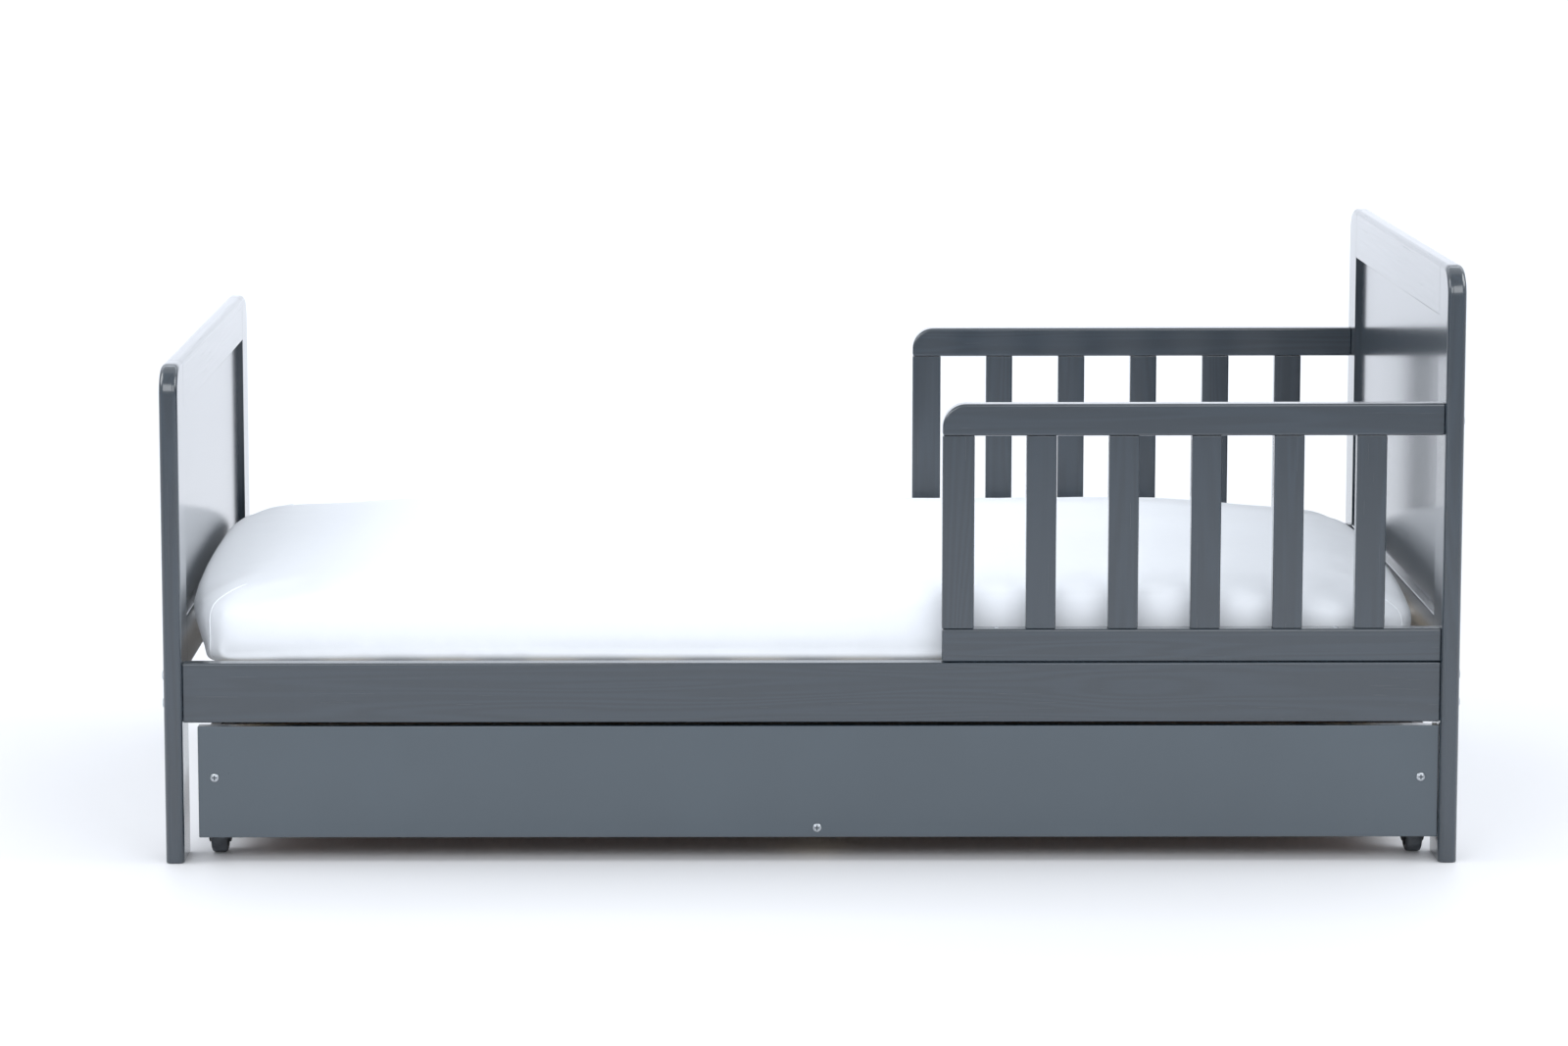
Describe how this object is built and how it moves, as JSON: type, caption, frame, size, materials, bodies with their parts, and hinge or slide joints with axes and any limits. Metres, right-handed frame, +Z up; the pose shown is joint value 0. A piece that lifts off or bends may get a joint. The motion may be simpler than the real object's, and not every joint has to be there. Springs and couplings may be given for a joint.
{
  "type": "toddler bed",
  "caption": "Low single bed for a small child, with framed end boards, half-length guard rails, a slatted base, a mattress and a drawer that rolls out from under it.",
  "frame": {"origin": "on the floor, under the middle of the bed", "axes": "+X along the bed towards the headboard, -Y the side the drawer opens to, +Z up"},
  "size_m": [1.658, 0.86, 0.768],
  "materials": {
    "grey_paint": "satin",
    "drawer_paint": "satin",
    "raw_pine": "matte",
    "white_board": "satin",
    "hardboard": "matte",
    "cotton_sheet": "matte",
    "black_plastic": "satin",
    "wheel_plastic": "satin",
    "screw_steel": "satin"
  },
  "bodies": {
    "frame": {"head_stile_front": "grey_paint", "head_stile_back": "grey_paint", "head_top_rail": "grey_paint", "head_bottom_rail": "grey_paint", "head_panel": "grey_paint", "foot_stile_front": "grey_paint", "foot_stile_back": "grey_paint", "foot_top_rail": "grey_paint", "foot_bottom_rail": "grey_paint", "foot_panel": "grey_paint", "side_rail_front": "grey_paint", "side_rail_back": "grey_paint", "slat_ledge_front": "grey_paint", "slat_ledge_back": "grey_paint", "bed_slat_1": "raw_pine", "bed_slat_2": "raw_pine", "bed_slat_3": "raw_pine", "bed_slat_4": "raw_pine", "bed_slat_5": "raw_pine", "bed_slat_6": "raw_pine", "bed_slat_7": "raw_pine", "bed_slat_8": "raw_pine", "bed_slat_9": "raw_pine", "bed_slat_10": "raw_pine", "bed_slat_11": "raw_pine", "bed_slat_12": "raw_pine", "guard_front_bottom_rail": "grey_paint", "guard_front_top_rail": "grey_paint", "guard_front_slat_1": "grey_paint", "guard_front_slat_2": "grey_paint", "guard_front_slat_3": "grey_paint", "guard_front_slat_4": "grey_paint", "guard_front_slat_5": "grey_paint", "guard_front_slat_6": "grey_paint", "guard_back_bottom_rail": "grey_paint", "guard_back_top_rail": "grey_paint", "guard_back_slat_1": "grey_paint", "guard_back_slat_2": "grey_paint", "guard_back_slat_3": "grey_paint", "guard_back_slat_4": "grey_paint", "guard_back_slat_5": "grey_paint", "guard_back_slat_6": "grey_paint"},
    "drawer": {"drawer_front": "drawer_paint", "drawer_side_left": "white_board", "drawer_side_right": "white_board", "drawer_back": "white_board", "drawer_bottom": "hardboard", "drawer_cross_rail": "raw_pine", "drawer_screw_left": "screw_steel", "drawer_screw_right": "screw_steel", "drawer_screw_centre": "screw_steel", "caster_fork_front_left": "black_plastic", "caster_fork_front_right": "black_plastic", "caster_fork_back_left": "black_plastic", "caster_fork_back_right": "black_plastic"},
    "mattress": {"mattress": "cotton_sheet"},
    "wheel_front_left": {"caster_wheel_front_left": "wheel_plastic"},
    "wheel_front_right": {"caster_wheel_front_right": "wheel_plastic"},
    "wheel_back_left": {"caster_wheel_back_left": "wheel_plastic"},
    "wheel_back_right": {"caster_wheel_back_right": "wheel_plastic"}
  },
  "joints": [
    {"name": "drawer_slide", "type": "slide", "parent": "frame", "child": "drawer", "axis": [0, -1, 0], "range_m": [0, 0.75]},
    {"name": "mattress_lift", "type": "slide", "parent": "frame", "child": "mattress", "axis": [0, 0, 1], "range_m": [0, 0.53]},
    {"name": "wheel_front_left_spin", "type": "hinge", "parent": "drawer", "child": "wheel_front_left", "pos_m": [-0.76545, -0.3615, 0.022], "axis": [1, 0, 0], "continuous": true},
    {"name": "wheel_front_right_spin", "type": "hinge", "parent": "drawer", "child": "wheel_front_right", "pos_m": [0.78205, -0.3615, 0.022], "axis": [1, 0, 0], "continuous": true},
    {"name": "wheel_back_left_spin", "type": "hinge", "parent": "drawer", "child": "wheel_back_left", "pos_m": [-0.76545, 0.332, 0.022], "axis": [1, 0, 0], "continuous": true},
    {"name": "wheel_back_right_spin", "type": "hinge", "parent": "drawer", "child": "wheel_back_right", "pos_m": [0.78205, 0.332, 0.022], "axis": [1, 0, 0], "continuous": true}
  ],
  "couplings": [
    {"joint": "wheel_front_left_spin", "follows": "drawer_slide", "rad_per_m": 45.455},
    {"joint": "wheel_front_right_spin", "follows": "drawer_slide", "rad_per_m": 45.455},
    {"joint": "wheel_back_left_spin", "follows": "drawer_slide", "rad_per_m": 45.455},
    {"joint": "wheel_back_right_spin", "follows": "drawer_slide", "rad_per_m": 45.455}
  ]
}
